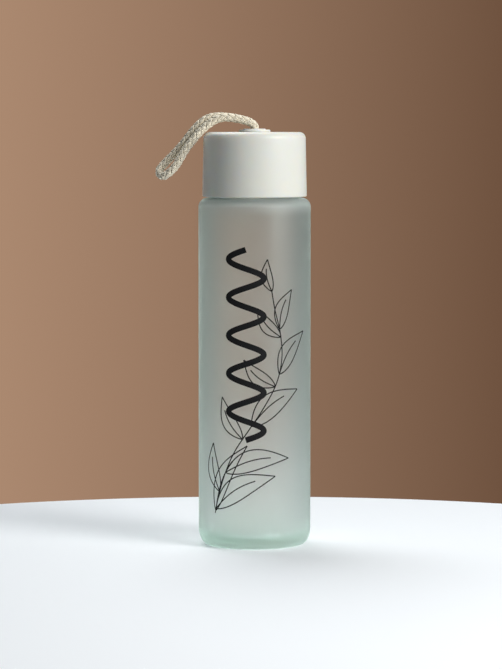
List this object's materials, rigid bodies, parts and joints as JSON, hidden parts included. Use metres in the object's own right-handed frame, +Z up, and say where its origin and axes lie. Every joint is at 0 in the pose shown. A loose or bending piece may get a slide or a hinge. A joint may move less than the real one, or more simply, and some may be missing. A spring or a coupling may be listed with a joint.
{
  "type": "water bottle",
  "caption": "Tall frosted glass cylinder bottle with a screw-off white plastic cap and a braided cord carry loop through a small disc on top.",
  "frame": {"origin": "middle of the flat ring that the bottle stands on", "axes": "+Z up along the bottle's axis; the carry loop falls over the cap's edge towards -X"},
  "size_m": [0.083, 0.06, 0.2309],
  "materials": {
    "frosted_glass": "acid-etched satin, pale green where thick",
    "cap_plastic": "smooth moulded, soft sheen",
    "liner_plastic": "natural moulded",
    "silicone": "milky, matt",
    "cotton_cord": "braided natural cotton"
  },
  "bodies": {
    "bottle": {"glass_body": "frosted_glass"},
    "seal": {"seal_gasket": "silicone"},
    "cap": {"cap_liner": "liner_plastic", "cap_shell": "cap_plastic", "cord_disc": "cap_plastic", "cord_knot": "cotton_cord"},
    "loop": {"carry_loop": "cotton_cord"}
  },
  "joints": [
    {"name": "cap_rise", "type": "slide", "parent": "bottle", "child": "seal", "axis": [0, 0, 1], "range_m": [0, 0.01801]},
    {"name": "cap_turn", "type": "hinge", "parent": "seal", "child": "cap", "pos_m": [0, 0, 0.2], "axis": [0, 0, 1], "range_deg": [0, 810]},
    {"name": "loop_swing", "type": "hinge", "parent": "cap", "child": "loop", "pos_m": [0.0025, 0, 0.2224], "axis": [0, 1, 0], "range_deg": [0, 90]}
  ],
  "couplings": [
    {"joint": "cap_rise", "follows": "cap_turn", "m_per_rad": 0.0012732}
  ]
}
